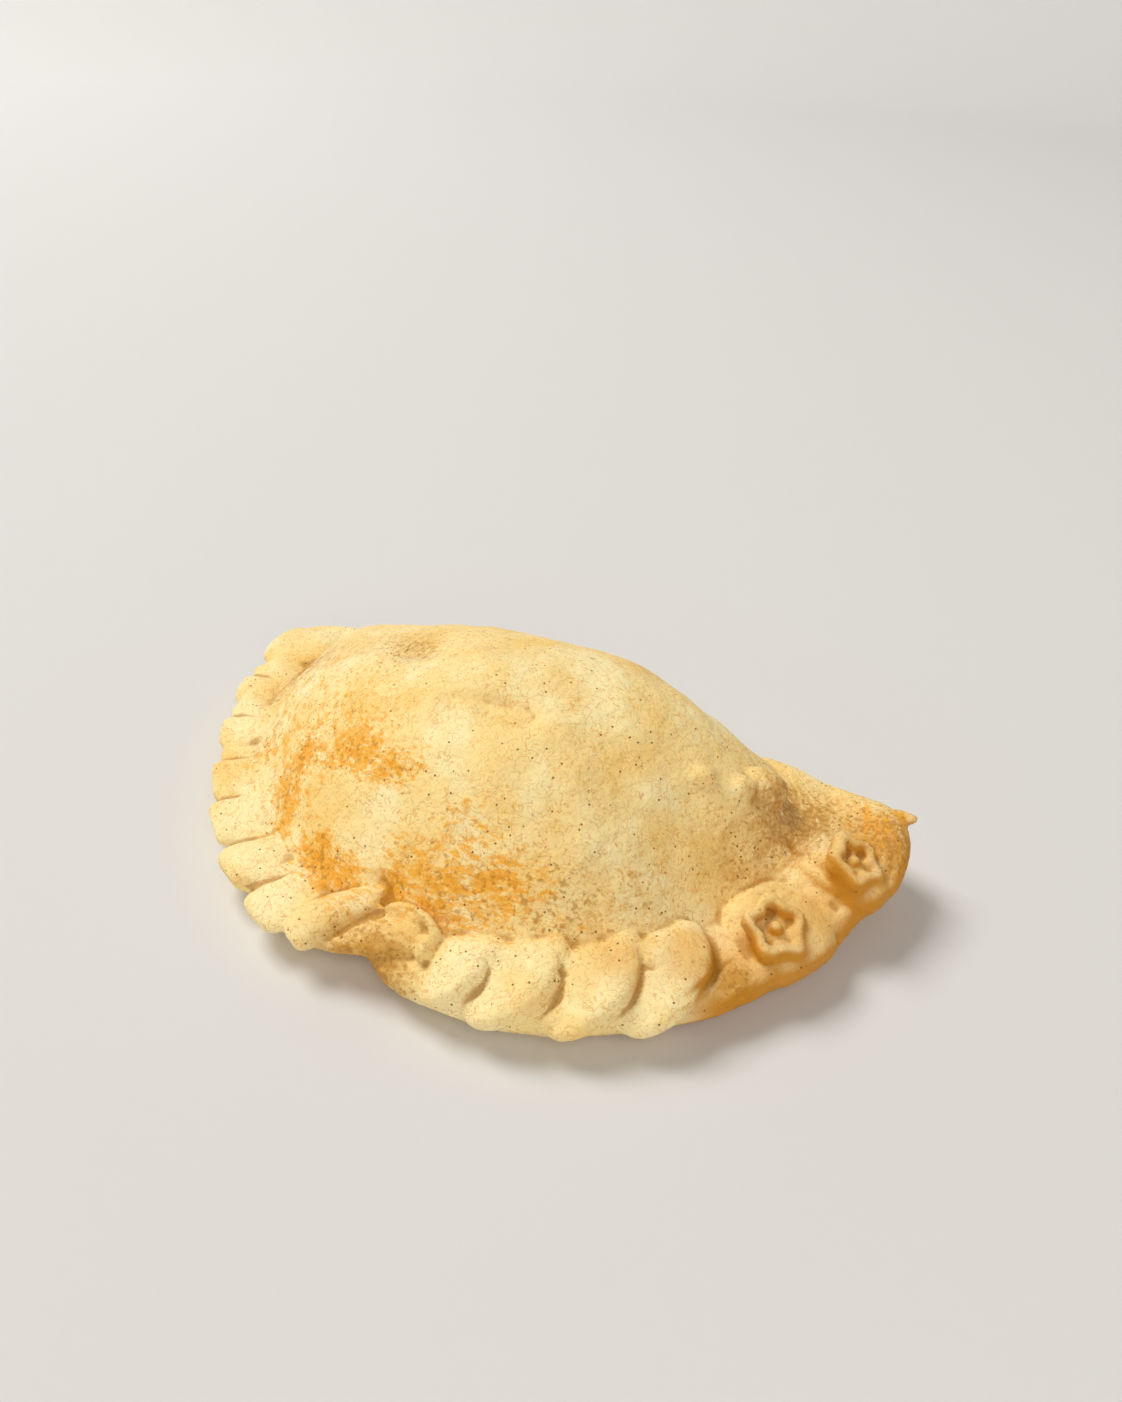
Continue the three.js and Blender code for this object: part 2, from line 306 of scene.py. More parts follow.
def skin(angle, ring):
    """Points of the skin: ring 0 is the top of the dome, 1 the middle of the base."""
    crimp = 1 - ease(*FOLD_SPAN, np.sin(angle))
    middle, half, bend = (
        FOLD_SECTION[key] + (CRIMP_SECTION[key] - FOLD_SECTION[key]) * crimp
        for key in ("middle", "half", "round")
    )
    middle = middle + TIP_LIFT * ease(*TIP_LIFT_SPAN, np.cos(angle - TIP_ANGLE))
    middle = middle + CORNER_LIFT * ease(*CORNER_LIFT_SPAN, np.cos(angle - CORNER_ANGLE))
    top = ring <= TOP_SHARE
    along = np.where(top, ring / TOP_SHARE, (1 - ring) / (1 - TOP_SHARE))
    out = np.sin(along * np.pi / 2)
    reach = outline_reach(angle)
    radius = out * reach
    x, y = APEX[0] + radius * np.cos(angle), APEX[1] + radius * np.sin(angle)
    edge = np.maximum(0, (radius - reach + bend) / bend)
    roll = half * np.sqrt(np.maximum(0, 1 - edge**2))
    flange = (middle - roll) * ease(BASE_SHARE, 1, out)
    rise = np.maximum(0, (out - BASE_SHARE) / (1 - BASE_SHARE))
    belly = middle * (1 - np.sqrt(np.maximum(0, 1 - rise**2)))
    inside = np.minimum(1, radius / dome_reach(angle))
    front, tip = ease(*FRONT_SPAN, np.sin(angle)), ease(*TIP_SPAN, np.cos(angle - TIP_SIDE))
    gentle = 1 - (1 - front) * (1 - tip)
    drop = FOOT["steep"] + (FOOT["gentle"] - FOOT["steep"]) * gentle
    dome = (1 - inside**SHOULDER) ** drop
    height = middle + roll + (DOME_HEIGHT - middle - half) * dome
    for lump_x, lump_y, size, lift in LUMPS:
        height = height + lift * np.exp(-((x - lump_x) ** 2 + (y - lump_y) ** 2) / size**2)
    z = np.where(top, height, belly + (flange - belly) * crimp - BASE_SPARE)
    return np.stack((x, y, z), axis=1)


print("bumps and hollows:", len(LUMPS))

# %% [markdown]
# The body from a ball
#
# A sphere is closed and evenly divided, as the skin has to be, so the body starts as one. Its longitude
# becomes the direction from the apex, its latitude the way out and under. The small helpers here read
# and move all points of a mesh at once, which is much quicker than one by one.

# %% Body
BODY_RINGS, BODY_SPOKES = 100, 220


def points_of(mesh):
    """Vertex places as an array."""
    points = np.empty(len(mesh.vertices) * 3)
    mesh.vertices.foreach_get("co", points)
    return points.reshape(-1, 3)


def ball(rings, spokes):
    """A unit sphere as a mesh, to be shaped."""
    bm = bmesh.new()
    bmesh.ops.create_uvsphere(bm, u_segments=spokes, v_segments=rings, radius=1)
    mesh = bpy.data.meshes.new("dough")
    bm.to_mesh(mesh)
    bm.free()
    return mesh


def place(mesh, points):
    """Moves a mesh's vertices to new places."""
    mesh.vertices.foreach_set("co", np.ascontiguousarray(points).ravel())
    mesh.update()
    return mesh


body = ball(BODY_RINGS, BODY_SPOKES)
unit = points_of(body)
place(body, skin(np.arctan2(unit[:, 1], unit[:, 0]), np.arccos(np.clip(unit[:, 2], -1, 1)) / np.pi))
dough = [body]
print("body box in mm:", points_of(body).min(0).round(1), points_of(body).max(0).round(1))

# %% [markdown]
# A roll of dough
#
# Everything on the rim was made by pinching and pushing the dough with a finger, so each fold is a
# small roll with blunt ends. A bevelled curve could give a roll, but not its blunt ends or its tilt. So
# one function makes them all: a sphere is drawn out along a curve through three points, flattened, and
# tilted. A skew makes one side of the roll fuller than the other, as on a fold that has been pushed
# over its neighbour.

# %% Shape of a roll
ROLL_RINGS, ROLL_SPOKES = 40, 48
BLUNTNESS = 0.45  # below 1 fills out the ends
STEP = 0.01  # share of the path over which its direction is taken


def on_disc(degrees, radius, z):
    """A point by angle and radius about the disc's centre."""
    angle = math.radians(degrees)
    return np.array((radius * math.cos(angle), DISC_CENTRE[1] + radius * math.sin(angle), z))


def outward_up(degrees, tilt, roll=0.0):
    """Up at a disc angle, tilted outward and rolled towards the blunt corner."""
    out = on_disc(degrees, 1, 0) - on_disc(degrees, 0, 0)
    tangent = np.array((-out[1], out[0], 0))
    up = np.array((0, 0, math.cos(math.radians(tilt)))) + out * math.sin(math.radians(tilt))
    return up - tangent * math.sin(math.radians(roll))


def curve(path, t):
    """Points on the parabola through three points, for a column of shares t along it."""
    a, b, c = (np.asarray(point, float) for point in path)
    return (1 - t) * (1 - 2 * t) * a + 4 * t * (1 - t) * b + t * (2 * t - 1) * c


def squared(x, power):
    """A sine or cosine drawn towards 1, which makes a round section squarer."""
    return np.sign(x) * np.abs(x) ** power


def roll_of_dough(path, width, thick, up, taper=(1, 1), skew=0.0, bluntness=BLUNTNESS, square=1.0):
    """A sphere drawn out along a curve through three points."""
    mesh = ball(ROLL_RINGS, ROLL_SPOKES)
    unit = points_of(mesh)
    t = (1 - unit[:, 2:]) / 2
    centre = curve(path, t)
    tangent = curve(path, t + STEP) - curve(path, t - STEP)
    side = np.cross(up, tangent)
    side /= np.linalg.norm(side, axis=1, keepdims=True)
    rise = np.cross(tangent, side)
    rise /= np.linalg.norm(rise, axis=1, keepdims=True)
    ring = np.hypot(unit[:, 0], unit[:, 1])
    full = ring**bluntness * (taper[0] + (taper[1] - taper[0]) * t[:, 0])
    turn = np.arctan2(unit[:, 1], unit[:, 0])
    across = full * squared(np.cos(turn), square) * width / 2
    height = full * squared(np.sin(turn), square) * thick / 2 * (1 + skew * np.cos(turn))
    return place(mesh, centre + side * across[:, None] + rise * height[:, None])


def between(a, b):
    """A straight path of three points."""
    return a, (a + b) / 2, b


print("one roll has", len(ball(ROLL_RINGS, ROLL_SPOKES).vertices), "vertices")

# %% [markdown]
# Knobs of filling
#
# Near the tip three hard bits of filling push the skin up from inside. Raising the skin in place would
# smear them, so each is a short roll that shows only its upper half.

# %% Knobs under the skin
KNOBS = (  # path, width, thickness
    (((39.8, 18.6, 19.9), (43.2, 20, 19.1), (46.8, 21.2, 16.9)), 7.6, 5.8),
    (((38.8, 14, 21.2), (40.5, 15.2, 21.0), (42, 16.4, 20.2)), 5.2, 4.8),
    (((32.4, 8, 24.9), (34.4, 10, 24.8), (36.2, 12.2, 23.8)), 4.0, 3.8),
)
KNOB_UP = (0.4, 0, 1)
for route, width, thick in KNOBS:
    dough.append(roll_of_dough(route, width, thick, KNOB_UP))
print("knobs:", len(KNOBS))

# %% [markdown]
# Scallops
#
# From the blunt corner to the front the edge was pressed flat between finger and thumb. Each press
# left a broad pillow, so the outline is wavy and a shallow groove runs inward between two pillows.
# They curl up a little towards the corner. A loop lays one flat roll at each place, as wide as the gap
# to its neighbours, because no two presses of a hand are alike.

# %% Scallops from the corner to the front
SCALLOP_ANGLES = (-176.5, -164, -152.5, -139, -128, -117, -107.5)
SCALLOP_REACHES = (72.2, 70.8, 70.2, 69.9, 70.8, 71.9, 72.9)
SCALLOP = dict(inner=57.5, high=9.1, low=6.0, thick=5.4, tilt=16, overlap=1.14)
SCALLOP_TAPER = (0.85, 1)
CORNER_CURL, CURL_SPAN = 3.0, (-180, -140)  # mm, and disc angles

for angle, reach, gap in zip(SCALLOP_ANGLES, SCALLOP_REACHES, np.gradient(SCALLOP_ANGLES)):
    lift = CORNER_CURL * (1 - ease(*CURL_SPAN, angle))
    inner = on_disc(angle, SCALLOP["inner"], SCALLOP["high"] + lift)
    outer = on_disc(angle, reach, SCALLOP["low"] + lift)
    width = math.radians(gap) * DISC_RADIUS * SCALLOP["overlap"]
    up = outward_up(angle, SCALLOP["tilt"])
    dough.append(roll_of_dough(between(inner, outer), width, SCALLOP["thick"], up, SCALLOP_TAPER))
print("scallops:", len(SCALLOP_ANGLES))

# %% [markdown]
# The twist
#
# Where the flat scallops change to the rope the dough was turned over. A finger of dough lies across
# the rim, a thicker tongue slides under it and ends in a pit, a thin lip curls over that pit and a
# small flap lies in it. Rolls laid over each other give real overhangs, which moving the skin up and
# down could not.

# %% Finger, tongue, lip and flap
TWIST_UP = outward_up(-95, 25)
TWIST = (  # path, width, thickness and taper
    (((-13.6, -42.2, 6.4), (-9, -36.8, 9.4), (-2.6, -31.8, 11.8)), 8.2, 5.4, (1, 0.85)),
    (((-7.6, -40.6, 6.8), (0, -36.4, 9.4), (7.2, -34.4, 10.4)), 8.6, 6.4, (0.5, 1)),
    (((-1.2, -33, 12.2), (4.4, -32.6, 13.8), (10, -33.4, 12)), 2.2, 2.4, (1, 1)),
    (((8.8, -37.6, 10.4), (8.3, -35.4, 11.4), (8.4, -33.6, 11.5)), 2.6, 2, (1, 1)),
)
for route, width, thick, taper in TWIST:
    dough.append(roll_of_dough(route, width, thick, TWIST_UP, taper))
print("rolls in the twist:", len(TWIST))

# %% [markdown]
# The rope
#
# Four bold folds follow. Each was pinched and pushed over the next one, so its right side is full and
# stands over its neighbour, and its left side dives under the fold before it. They lean towards the
# tip on their way in. Skewed rolls lie over each other in that way by themselves.

# %% Rope folds
ROPE_FOLDS = (  # disc angle and radius of the inner end, the middle and the outer end, and the width
    ((-75.6, 59.0), (-77.4, 64.6), (-81.6, 68.0), 12.0),
    ((-68.6, 57.0), (-70.2, 64.4), (-75.6, 68.2), 17.5),
    ((-57.6, 57.0), (-59.6, 64.4), (-65.6, 68.4), 18.0),
    ((-46.8, 56.5), (-49.2, 64.2), (-55.8, 68.0), 18.0),
)
ROPE_HEIGHTS = (9.6, 9.7, 5.4)
ROPE = dict(thick=5.2, skew=0.65, square=0.7, taper=(1, 0.7), bluntness=0.34)
ROPE_TILT, ROPE_ROLL = 28, 7

for *stations, width in ROPE_FOLDS:
    route = [on_disc(angle, radius, z) for (angle, radius), z in zip(stations, ROPE_HEIGHTS)]
    up = outward_up(stations[1][0], ROPE_TILT, ROPE_ROLL)
    dough.append(roll_of_dough(route, width, up=up, **ROPE))
print("rope folds:", len(ROPE_FOLDS))

# %% [markdown]
# Pads and rosettes
#
# Near the tip two pads of dough were pressed on. Each carries a raised five-petalled outline with a
# dot. A ring is a small circle turned once about an axis, which is what the spin operator does, and
# its petals come from moving the ring in and out as a wave.

# %% Pads with their rosettes
PADS = (  # disc angles of the pad and its rosette, pad's width, height of its outer end, rosette's radius
    (-27.4, -30.4, 18.5, 6.2, 4.3),
    (-11.4, -12.7, 14.5, 9.4, 3.8),
)
PAD = dict(inner=54.0, reach=70.4, drop=3.0, thick=8.0, tilt=26, square=0.85)
ROSETTE = dict(ridge=1.3, petals=5, wave=0.65, dot=1.2, along=0.48, stand=0.7)
RIDGE_SIDES, RING_STEPS, DOT_DETAIL = 16, 90, 3


def rosette(centre, up, radius):
    """A wavy raised ring and a dot, standing on a tilted face."""
    bm = bmesh.new()
    ring = bmesh.ops.create_circle(bm, segments=RIDGE_SIDES, radius=ROSETTE["ridge"])
    bmesh.ops.rotate(bm, verts=ring["verts"], matrix=Matrix.Rotation(math.pi / 2, 3, "X"))
    bmesh.ops.translate(bm, verts=ring["verts"], vec=(radius, 0, 0))
    bmesh.ops.spin(bm, geom=bm.verts[:] + bm.edges[:], steps=RING_STEPS, **WHOLE_TURN)
    for vert in bm.verts:
        wave = ROSETTE["wave"] * math.cos(ROSETTE["petals"] * math.atan2(vert.co.y, vert.co.x))
        vert.co += Vector((vert.co.x, vert.co.y, 0)).normalized() * wave
    bmesh.ops.create_icosphere(bm, subdivisions=DOT_DETAIL, radius=ROSETTE["dot"])
    bmesh.ops.recalc_face_normals(bm, faces=bm.faces)
    stand = Vector(up).to_track_quat("Z", "Y").to_matrix()
    bmesh.ops.rotate(bm, verts=bm.verts, matrix=stand)
    bmesh.ops.translate(bm, verts=bm.verts, vec=centre)
    mesh = bpy.data.meshes.new("rosette")
    bm.to_mesh(mesh)
    bm.free()
    return mesh


def pad_path(angle, low):
    """Middle line of a pad, from its inner end to its outer one."""
    return between(on_disc(angle, PAD["inner"], low + PAD["drop"]), on_disc(angle, PAD["reach"], low))


for pad_angle, mark_angle, width, low, radius in PADS:
    up = outward_up(pad_angle, PAD["tilt"])
    dough.append(roll_of_dough(pad_path(pad_angle, low), width, PAD["thick"], up, square=PAD["square"]))
    up = outward_up(mark_angle, PAD["tilt"])
    centre = curve(pad_path(mark_angle, low), ROSETTE["along"])
    dough.append(rosette(centre + up * (PAD["thick"] / 2 + ROSETTE["stand"]), up, radius))
print("pads:", len(PADS))

# %% [markdown]
# The hood at the tip
#
# The last turn of dough was wrapped round the outer pad, so a rounded fold runs from the back ridge
# past the tip and down the right side. One more roll, along a path that bends round the tip, does it.

# %% Hood
HOOD_PATH = ((52, 30, 10.4), (64.6, 27.2, 13.2), (67.4, 14, 9.8))
HOOD = dict(width=8.5, thick=7.0, up=outward_up(-2, 20), taper=(1, 0.8))
dough.append(roll_of_dough(HOOD_PATH, **HOOD))
print("pieces of dough:", len(dough))

# %% [markdown]
# The torn flake
#
# At the very tip a small flake of dough broke off when the pastry was lifted after baking. It is a
# thin roll with square ends, which looks torn rather than rolled.

# %% Flake at the tip
FLAKE_PATH = ((63.6, 28.6, 14.4), (66.6, 29.8, 15.1), (69.2, 30.4, 15.4))
FLAKE = dict(width=3.6, thick=1.4, up=(0, 0, 1), taper=(1.2, 0.55), bluntness=0.25, square=0.6)
dough.append(roll_of_dough(FLAKE_PATH, **FLAKE))
print("pieces of dough:", len(dough))

# %% [markdown]
# One piece of dough
#
# On the real pastry the folds are not stuck on: they are one skin. A boolean union would leave a hard
# seam along every fold. So all the rolls are put into one mesh and remeshed with small voxels, which
# keeps only the outer surface and joins it. A few rounds of smoothing take the steps out of the
# voxels, and a level cut makes the flat base.

# %% Fuse the rolls into one skin
VOXEL = 0.515  # mm
SMOOTH_ROUNDS, SMOOTH_FACTOR = 3, 0.5
ALL_AXES = dict(use_axis_x=True, use_axis_y=True, use_axis_z=True)

bm = bmesh.new()
for mesh in dough:
    bm.from_mesh(mesh)
    bpy.data.meshes.remove(mesh)
fused = bpy.data.meshes.new("pastry_skin")
bm.to_mesh(fused)
bm.free()
pastry = bpy.data.objects.new("empanada", fused)
bpy.context.scene.collection.objects.link(pastry)
remesh = pastry.modifiers.new("one skin", "REMESH")
remesh.mode = "VOXEL"
remesh.voxel_size = VOXEL
graph = bpy.context.evaluated_depsgraph_get()
skin_mesh = bpy.data.meshes.new_from_object(pastry.evaluated_get(graph))
pastry.modifiers.clear()

bm = bmesh.new()
bm.from_mesh(skin_mesh)
for _ in range(SMOOTH_ROUNDS):
    bmesh.ops.smooth_vert(bm, verts=bm.verts, factor=SMOOTH_FACTOR, **ALL_AXES)
whole = bm.verts[:] + bm.edges[:] + bm.faces[:]
bmesh.ops.bisect_plane(bm, geom=whole, plane_co=(0, 0, 0), plane_no=(0, 0, -1), clear_outer=True)
bmesh.ops.holes_fill(bm, edges=[e for e in bm.edges if e.is_boundary])
bmesh.ops.recalc_face_normals(bm, faces=bm.faces)
bm.to_mesh(skin_mesh)
bm.free()
pastry.data = skin_mesh
print("skin:", len(skin_mesh.vertices), "vertices,", len(skin_mesh.polygons), "faces")

# %% [markdown]
# Marks of the fingers
#
# Fingers and nails left creases, notches, pits and drawn lines in the skin. Bump in a material could
# draw them, but it would not change the outline, so the points themselves are pressed in. Each stroke
# is a curve through three places on the plan, with a width and a depth in millimetres.

# %% Strokes on the rim
NOTCHES = (-167, -156, -145, -134.5, -123.5, -113.5)  # disc angles between two scallops
NOTCH_RUN = ((-2.4, 79), (1.6, 69.5), (5, 61))  # degrees from the notch, and radius: from outside inwards
PIT_RUN = ((2.4, 67), (2.8, 66), (3.2, 65))


def rim(places, turned=0):
    """Plan points by angle and radius about the disc's centre."""
    return [on_disc(angle + turned, radius, 0)[:2] for angle, radius in places]


strokes = [(rim(NOTCH_RUN, notch), 1.2, 1.0) for notch in NOTCHES]
strokes += [(rim(PIT_RUN, notch), 0.5, 0.4) for notch in NOTCHES[2:]]
strokes += [  # the valley between the left rim and the dome, with drawn lines beside it
    (rim(((-179, 60.4), (-160, 60), (-141, 60.6))), 1.8, 0.4),
    (rim(((-176, 58.8), (-160, 58.4), (-145, 59))), 0.8, 0.4),
    (rim(((-174, 57), (-161, 56.6), (-149, 57.3))), 0.7, 0.35),
]
print("strokes on the left rim:", len(strokes))

# %% Strokes on the twist, the dome, the rope and the pads
strokes += [  # outlines of the finger, the tongue and the lip
    (((-9.5, -42), (-4.6, -38), (-1.4, -32)), 0.6, 0.4),
    (((-6.6, -30.2), (-2.4, -30.2), (-0.8, -33.4)), 0.7, 0.8),
    (((0, -33.6), (5, -33.4), (9.2, -35)), 0.5, 0.6),
]
strokes += [  # the slack skin on top of the dome
    (((-8.4, -6.6), (-0.4, -3.8), (7.6, -1.6)), 2.0, 0.7),
    (((-8.9, -6), (-0.6, -3.2), (7, -0.6)), 0.8, 0.36),
    (((5.2, -0.6), (7.9, -1.8), (7.4, -4.6)), 0.9, 0.4),
    (((7.6, -1.9), (11, 0.6), (14.7, 3)), 1.2, 0.3),
    (((-27.9, -0.3), (-21, -1.6), (-14, -1.4)), 0.8, 0.3),
    (((-29, 3), (-22, 2.4), (-15, 2.8)), 0.8, 0.25),
    (((-27, 7), (-22, 6.6), (-16, 7.4)), 0.9, 0.25),
]
strokes += [  # the overhanging right edge of each rope fold
    (((17.8, -32.6), (19.8, -37), (14.6, -42.4)), 0.5, 0.5),
    (((27, -26.6), (30.8, -33), (25.6, -40.4)), 0.5, 0.6),
    (((36.8, -19), (41, -26.2), (36.2, -35)), 0.5, 0.6),
    (((45.6, -8.6), (50, -15.6), (46.6, -25)), 0.5, 0.6),
]
strokes += [  # pits between the rope folds, and a wrinkle in the flat place after the last
    (((17.8, -34), (18.6, -34.2), (19.6, -33.8)), 0.5, 0.5),
    (((29, -29.6), (29.8, -29.6), (31, -29)), 0.5, 0.5),
    (((40, -22.2), (41, -22), (42.2, -21.2)), 0.5, 0.5),
    (((49.5, -14.5), (50.6, -12), (51, -9.8)), 0.6, 0.5),
]
strokes += [  # edges of the pads and of the hood
    (((48.7, -3.2), (50.4, -7.6), (55.6, -12.4)), 0.8, 0.4),
    (((52.8, 14.2), (58.8, 9.9), (64.4, 8)), 0.9, 0.8),
    (((60.6, 7.6), (61.8, 7), (63.2, 7)), 0.7, 0.7),
    (((50, 15.8), (52, 14), (53.8, 12.2)), 0.6, 0.6),
    (((62, 25), (67, 21), (68.8, 13)), 0.6, 0.4),
]
print("strokes:", len(strokes))

# %% [markdown]
# Pressing the strokes in
#
# Points sink along their own normals by a bell-shaped share of a stroke's depth, so its sides are soft,
# as in dough, and every stroke fades out at both ends. The sides of the rim sink too, so that a notch
# reaches the outline, but the underside stays flat.

# %% Depth of the strokes
STROKE_STEPS = np.linspace(0, 1, 81)[:, None]
STROKE_MARGIN = 3  # widths away from its line, where a stroke is no longer felt
END_FADE = 3  # exponent: higher keeps a stroke deep nearer to its ends
UPPER_SPAN = (-0.6, -0.1)  # height of the normal over which the underside turns into the sides


def groove(points, path, width, depth):
    """Depth of one stroke at each point; it fades out at both ends."""
    line = curve(path, STROKE_STEPS)
    margin = STROKE_MARGIN * width
    near = np.all((points[:, :2] > line.min(0) - margin) & (points[:, :2] < line.max(0) + margin), axis=1)
    gaps = np.linalg.norm(points[near, None, :2] - line, axis=2)
    ends = np.abs(2 * STROKE_STEPS[gaps.argmin(axis=1), 0] - 1)
    sunk = np.zeros(len(points))
    sunk[near] = depth * np.exp(-((gaps.min(axis=1) / width) ** 2)) * (1 - ends**END_FADE)
    return sunk


def normals_of(mesh):
    """Vertex normals as an array."""
    normals = np.empty(len(mesh.vertices) * 3, dtype=np.float32)
    mesh.vertex_normals.foreach_get("vector", normals)
    return normals.reshape(-1, 3).astype(float)


points, normals = points_of(pastry.data), normals_of(pastry.data)
upper = ease(*UPPER_SPAN, normals[:, 2])
sunk = upper * sum(groove(points, *stroke) for stroke in strokes)
print("deepest stroke in mm:", sunk.max().round(2))

# %% [markdown]
# The unevenness of dough
#
# Rolled dough is never quite smooth. A fractal noise adds soft swells of several sizes, the largest
# about a centimetre wide and half a millimetre high. Round the front edge a faint line shows where the
# upper layer of dough meets the lower one. A Displace modifier could do this, but here the strokes,
# the swells and the line move the points once, all together.

# %% Swells and the line between the layers
SWELL_SIZE, SWELL_HEIGHT = 9.0, 0.45  # mm
SWELL_FADE, SWELL_STEP, SWELL_OCTAVES = 1.0, 2.0, 4  # each octave is lower and half as wide
BASE_SPAN = (0.5, 4)  # mm above the base over which the swells set in
LAYER = dict(z=3.4, width=0.5, depth=0.35)  # mm
STEEP_SPAN = (0.9, 0.5)  # height of the normal over which flat turns into steep

octaves = (SWELL_FADE, SWELL_STEP, SWELL_OCTAVES)
swell = np.array([noise.fractal(Vector(point) / SWELL_SIZE, *octaves) for point in points])
off_base = ease(*BASE_SPAN, points[:, 2])
layer = LAYER["depth"] * np.exp(-(((points[:, 2] - LAYER["z"]) / LAYER["width"]) ** 2))
layer = layer * (points[:, 1] < DISC_CENTRE[1]) * ease(*STEEP_SPAN, np.abs(normals[:, 2]))
lift = SWELL_HEIGHT * swell * off_base - layer - sunk
place(pastry.data, points + normals * lift[:, None])
print("swells in mm:", (SWELL_HEIGHT * swell.min()).round(2), (SWELL_HEIGHT * swell.max()).round(2))

# %% [markdown]
# Where the oven browned it, and painted shade
#
# The oven's heat does not colour dough evenly. Along the left and front foot of the dome the skin
# toasted. The right side and the valleys are a dull tan, partly the crust's own colour and partly
# painted shade. The thick pads and the tip are gold, with painted shade darkening their sides, and
# some folds kept the pale cream of raw dough. Such fields could be painted by hand. Here they are sums
# of soft round patches, each with a place, a radius in millimetres and a strength.

# %% Toast: broad washes, then small islands, then places left free
TOAST = (
    (-32, -10, 14, 0.26),
    (-18, -10, 12, 0.14),
    (-14, -20, 14, 0.1),
    (0, -29, 9, 0.16),
    (10, -28.4, 8, 0.08),
    (20, -24, 9, 0.12),
    (-46, 2, 9, 0.2),
    (-43.5, -10.5, 5, 0.24),
    (-36, -19, 4, 0.2),
    (37, -6, 7, 0.14),
    (14, -30.5, 3.5, 0.14),
    (-30.8, -15.3, 3, 0.4),
    (-20.5, -16.5, 4, 0.4),
    (-15, -17.1, 3.4, 0.35),
    (-9.6, -18.8, 3.6, 0.48),
    (-5.4, -19.6, 3, 0.3),
    (-5.2, -14.8, 3, 0.25),
    (-30.3, -21.2, 3, 0.4),
    (-28.5, -25.6, 3, 0.4),
    (-20, -28.6, 3.5, 0.4),
    (-16.2, -29.7, 4, 0.5),
    (-10.8, -30.4, 4, 0.42),
    (-1.1, -29.6, 5, 0.32),
    (7.3, -27.8, 5, 0.36),
    (3.9, -18.6, 3, 0.15),
    (7.2, -20, 3, 0.22),
    (13.9, -28, 4, 0.1),
    (13.4, -22.4, 4, 0.26),
    (18, -24, 4.5, 0.26),
    (27, -21, 5, 0.2),
    (-10, -37, 4, 0.2),
    (64, 27, 7, 0.5),
    (-12, -24, 4.5, -0.35),
    (-6.6, -22.8, 4, -0.35),
    (-20, -22, 3.5, -0.25),
    (-2, -11, 6, -0.4),
)
print("patches of toast:", len(TOAST))

# %% Tan, gold and pale
TAN_AND_SHADE = (  # crust's tan with painted shade: the right side, the ridge by the tip, the valleys
    (28, -10, 16, 0.12),
    (25, -22, 8, 0.25),
    (36, -14, 7, 0.25),
    (22, -5, 6, 0.15),
    (46, 6, 9, 0.45),
    (52.6, -14.5, 4, 0.9),
    (68, 22, 6, 1.0),
    (-46, 12, 10, 0.35),
    (-31, 12, 8, 0.3),
    (50, 24, 9, 0.8),
    (50, 17, 6, 0.7),
    (-22, 9, 7, 0.5),
    (-54, 14, 6, 0.4),
    (-55, 4, 5, 0.4),
    (-48, -8, 6, 0.35),
    (5.5, -2.6, 3.5, 0.3),
    (-3, -42, 6, 0.8),
    (5, -41, 6, 0.6),
)
GOLD_AND_SHADE = (  # gold with painted shade on the sides: the tip, the pads, the last of the rope, the twist
    (59, -5, 10, 1.0),
    (66, 10, 9, 1.0),
    (61.6, 3.6, 5, 0.4),
    (66, 24, 10, 1.0),
    (51, -16, 7, 1.0),
    (36.5, -23.7, 5, 1.0),
    (45, -16, 5, 1.0),
    (-9, -36.5, 5, 0.5),
    (1, -37, 7, 0.55),
)
PALE = (  # rope folds, two scallops and the slack top
    (14, -38.5, 7, 0.6),
    (24, -36, 7, 0.6),
    (45.5, -21, 5, 0.7),
    (-26, -36, 8, 1.0),
    (-7, -23, 6, 0.6),
    (9, 10, 7, 0.7),
    (14.6, 0.7, 6, 0.5),
    (2, 4, 6, 0.4),
)
print("patches of tan, gold and pale:", len(TAN_AND_SHADE), len(GOLD_AND_SHADE), len(PALE))

# %% [markdown]
# Creases and hollows
#
# Fat runs into creases, so they bake darker, and shade falls in them, so their darker colour is partly
# browning and partly painted shade. The broad hollows get painted shade only. A crease is where a point
# lies below the mean of its neighbours. A few rounds of averaging find the fine creases, many rounds
# the broad hollows. These measures and the patches are saved as attributes, values on the points, for
# the material to read.

# %% Helpers for attributes
CREASE_ROUNDS, CREASE_DEEP = 10, 0.3  # rounds of averaging, and the depth in mm that is fully dark
HOLLOW_ROUNDS, HOLLOW_DEEP = 80, 1.6


def patches(points, spots):
    """Sum of soft round patches on the plan."""
    total = np.zeros(len(points))
    for x, y, size, strength in spots:
        total += strength * np.exp(-((points[:, 0] - x) ** 2 + (points[:, 1] - y) ** 2) / size**2)
    return total


def averaged(points, edges, rounds):
    """Every point moved to the mean of its neighbours, so many times over."""
    count = np.bincount(edges.ravel(), minlength=len(points))[:, None]
    for _ in range(rounds):
        total = np.zeros_like(points)
        for here, there in (edges.T, edges.T[::-1]):
            for axis in range(3):
                total[:, axis] += np.bincount(here, points[there, axis], len(points))
        points = total / count
    return points


def save(mesh, name, values):
    """Stores one value or vector for each point."""
    kind, field = ("FLOAT", "value") if values.ndim == 1 else ("FLOAT_VECTOR", "vector")
    mesh.attributes.new(name, kind, "POINT").data.foreach_set(field, values.astype(np.float32).ravel())


print("rounds of averaging:", CREASE_ROUNDS, HOLLOW_ROUNDS)

# %% Attributes of the crust
UNDERSIDE = -0.2  # height of the normal below which a point is on the underside
TOP_FADE, TOP_SPAN = 0.55, (0.3, 0.95)  # painted shade: steep sides take more of the gold than level places
SHOWN = 0.3  # from here on a crease is easily seen

